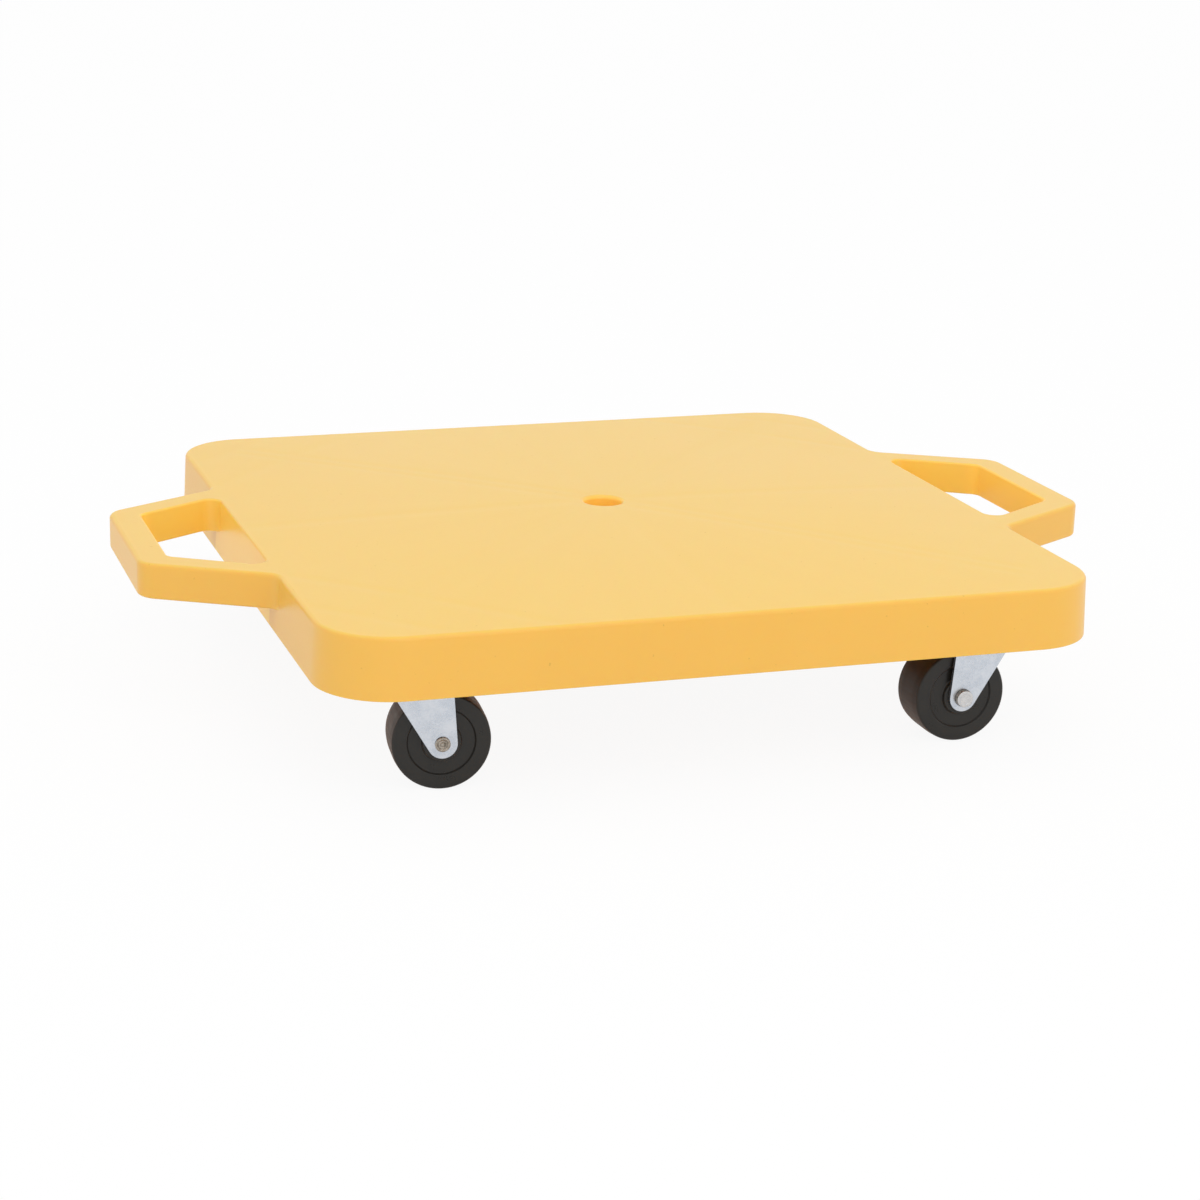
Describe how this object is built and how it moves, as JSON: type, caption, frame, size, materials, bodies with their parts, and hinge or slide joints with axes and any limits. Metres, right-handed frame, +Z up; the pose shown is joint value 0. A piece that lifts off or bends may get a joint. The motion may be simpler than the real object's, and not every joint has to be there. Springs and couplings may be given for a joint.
{
  "type": "scooter board",
  "caption": "Square low plastic board with a handle at each side and a ribbed underside, on swivel casters with hard wheels, for sitting or lying on and rolling about.",
  "frame": {"origin": "on the floor under the middle of the deck", "axes": "+X along the line of the two handles, +Y towards the back edge, +Z up out of the top"},
  "size_m": [0.5348, 0.4088, 0.0941],
  "materials": {
    "yellow_plastic": "semi-gloss moulded, warm yellow",
    "zinc_plated_steel": "bright zinc plate on pressed steel",
    "plain_steel": "plain steel, a little dulled",
    "screw_steel": "bright steel",
    "black_plastic": "satin, moulded",
    "bush_plastic": "natural, moulded"
  },
  "bodies": {
    "board": {"deck": "yellow_plastic", "front_left_plate": "zinc_plated_steel", "front_left_screw_1": "screw_steel", "front_left_screw_2": "screw_steel", "front_left_screw_3": "screw_steel", "front_left_screw_4": "screw_steel", "front_left_king_pin": "plain_steel", "front_left_retainer": "zinc_plated_steel", "front_right_plate": "zinc_plated_steel", "front_right_screw_1": "screw_steel", "front_right_screw_2": "screw_steel", "front_right_screw_3": "screw_steel", "front_right_screw_4": "screw_steel", "front_right_king_pin": "plain_steel", "front_right_retainer": "zinc_plated_steel", "rear_left_plate": "zinc_plated_steel", "rear_left_screw_1": "screw_steel", "rear_left_screw_2": "screw_steel", "rear_left_screw_3": "screw_steel", "rear_left_screw_4": "screw_steel", "rear_left_king_pin": "plain_steel", "rear_left_retainer": "zinc_plated_steel", "rear_right_plate": "zinc_plated_steel", "rear_right_screw_1": "screw_steel", "rear_right_screw_2": "screw_steel", "rear_right_screw_3": "screw_steel", "rear_right_screw_4": "screw_steel", "rear_right_king_pin": "plain_steel", "rear_right_retainer": "zinc_plated_steel"},
    "front_left_swivel": {"front_left_fork": "zinc_plated_steel", "front_left_ball_race": "screw_steel", "front_left_axle": "plain_steel"},
    "front_left_wheel_set": {"front_left_wheel": "black_plastic", "front_left_bush": "bush_plastic"},
    "front_right_swivel": {"front_right_fork": "zinc_plated_steel", "front_right_ball_race": "screw_steel", "front_right_axle": "plain_steel"},
    "front_right_wheel_set": {"front_right_wheel": "black_plastic", "front_right_bush": "bush_plastic"},
    "rear_left_swivel": {"rear_left_fork": "zinc_plated_steel", "rear_left_ball_race": "screw_steel", "rear_left_axle": "plain_steel"},
    "rear_left_wheel_set": {"rear_left_wheel": "black_plastic", "rear_left_bush": "bush_plastic"},
    "rear_right_swivel": {"rear_right_fork": "zinc_plated_steel", "rear_right_ball_race": "screw_steel", "rear_right_axle": "plain_steel"},
    "rear_right_wheel_set": {"rear_right_wheel": "black_plastic", "rear_right_bush": "bush_plastic"}
  },
  "joints": [
    {"name": "front_left_swivel", "type": "hinge", "parent": "board", "child": "front_left_swivel", "pos_m": [-0.159, -0.159, 0.0575], "axis": [0, 0, 1], "continuous": true},
    {"name": "front_left_wheel_spin", "type": "hinge", "parent": "front_left_swivel", "child": "front_left_wheel_set", "pos_m": [-0.13914, -0.16133, 0.025], "axis": [0.1167, 0.9932, 0], "continuous": true},
    {"name": "front_right_swivel", "type": "hinge", "parent": "board", "child": "front_right_swivel", "pos_m": [0.159, -0.159, 0.0575], "axis": [0, 0, 1], "continuous": true},
    {"name": "front_right_wheel_spin", "type": "hinge", "parent": "front_right_swivel", "child": "front_right_wheel_set", "pos_m": [0.139, -0.159, 0.025], "axis": [0, -1, 0], "continuous": true},
    {"name": "rear_left_swivel", "type": "hinge", "parent": "board", "child": "rear_left_swivel", "pos_m": [-0.159, 0.159, 0.0575], "axis": [0, 0, 1], "continuous": true},
    {"name": "rear_left_wheel_spin", "type": "hinge", "parent": "rear_left_swivel", "child": "rear_left_wheel_set", "pos_m": [-0.13937, 0.16282, 0.025], "axis": [-0.1908, 0.9816, 0], "continuous": true},
    {"name": "rear_right_swivel", "type": "hinge", "parent": "board", "child": "rear_right_swivel", "pos_m": [0.159, 0.159, 0.0575], "axis": [0, 0, 1], "continuous": true},
    {"name": "rear_right_wheel_spin", "type": "hinge", "parent": "rear_right_swivel", "child": "rear_right_wheel_set", "pos_m": [0.13951, 0.1635, 0.025], "axis": [-0.225, -0.9744, 0], "continuous": true}
  ]
}
